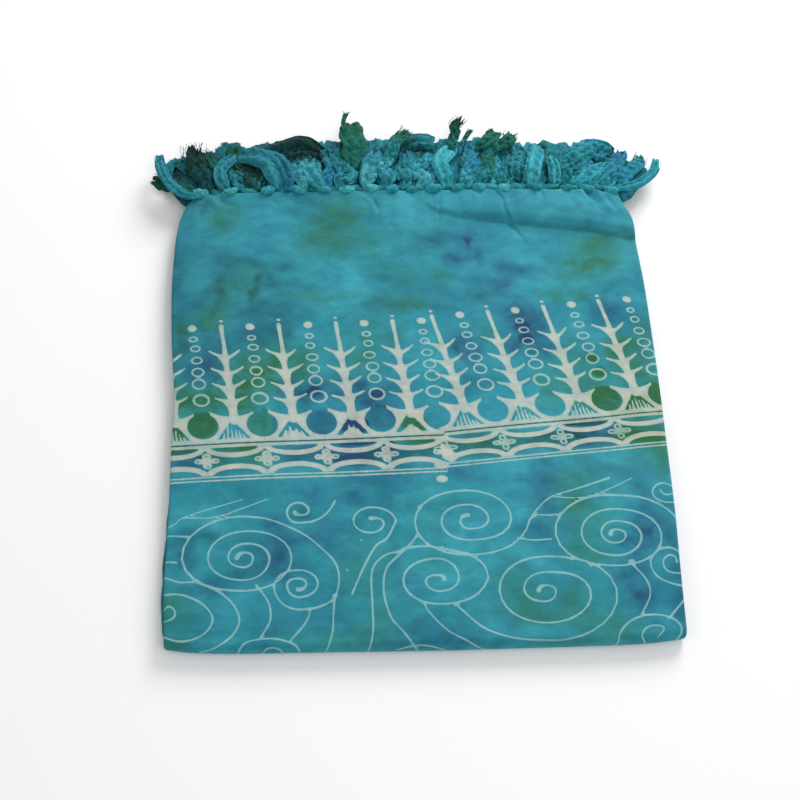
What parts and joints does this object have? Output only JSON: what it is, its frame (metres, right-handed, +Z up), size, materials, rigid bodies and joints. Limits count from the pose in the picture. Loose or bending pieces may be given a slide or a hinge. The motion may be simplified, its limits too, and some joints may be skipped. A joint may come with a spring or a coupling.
{
  "type": "folded batik sarong",
  "caption": "Fringed batik sarong folded into a flat, nearly square packet that lies on a surface, knotted fringe along one side.",
  "frame": {"origin": "middle of the folded packet's flat underside, without the fringe", "axes": "+Z up, away from the surface that it lies on; +Y from the near fold towards the fringe; +X to the right as seen from the near fold"},
  "size_m": [0.4263, 0.4711, 0.0234],
  "materials": {
    "batik_cloth": "plain-woven rayon, hand-dyed turquoise with wax-resist pattern, soft low sheen",
    "inner_plies": "folded rayon plies, the same cloth seen at its edges",
    "fringe": "knotted loose rayon yarns, silky, frayed at the tips"
  },
  "bodies": {
    "root": {"outer_cloth": "batik_cloth", "folded_layers": "inner_plies", "fringe_1": "fringe", "fringe_2": "fringe", "fringe_3": "fringe", "fringe_4": "fringe"}
  },
  "joints": []
}
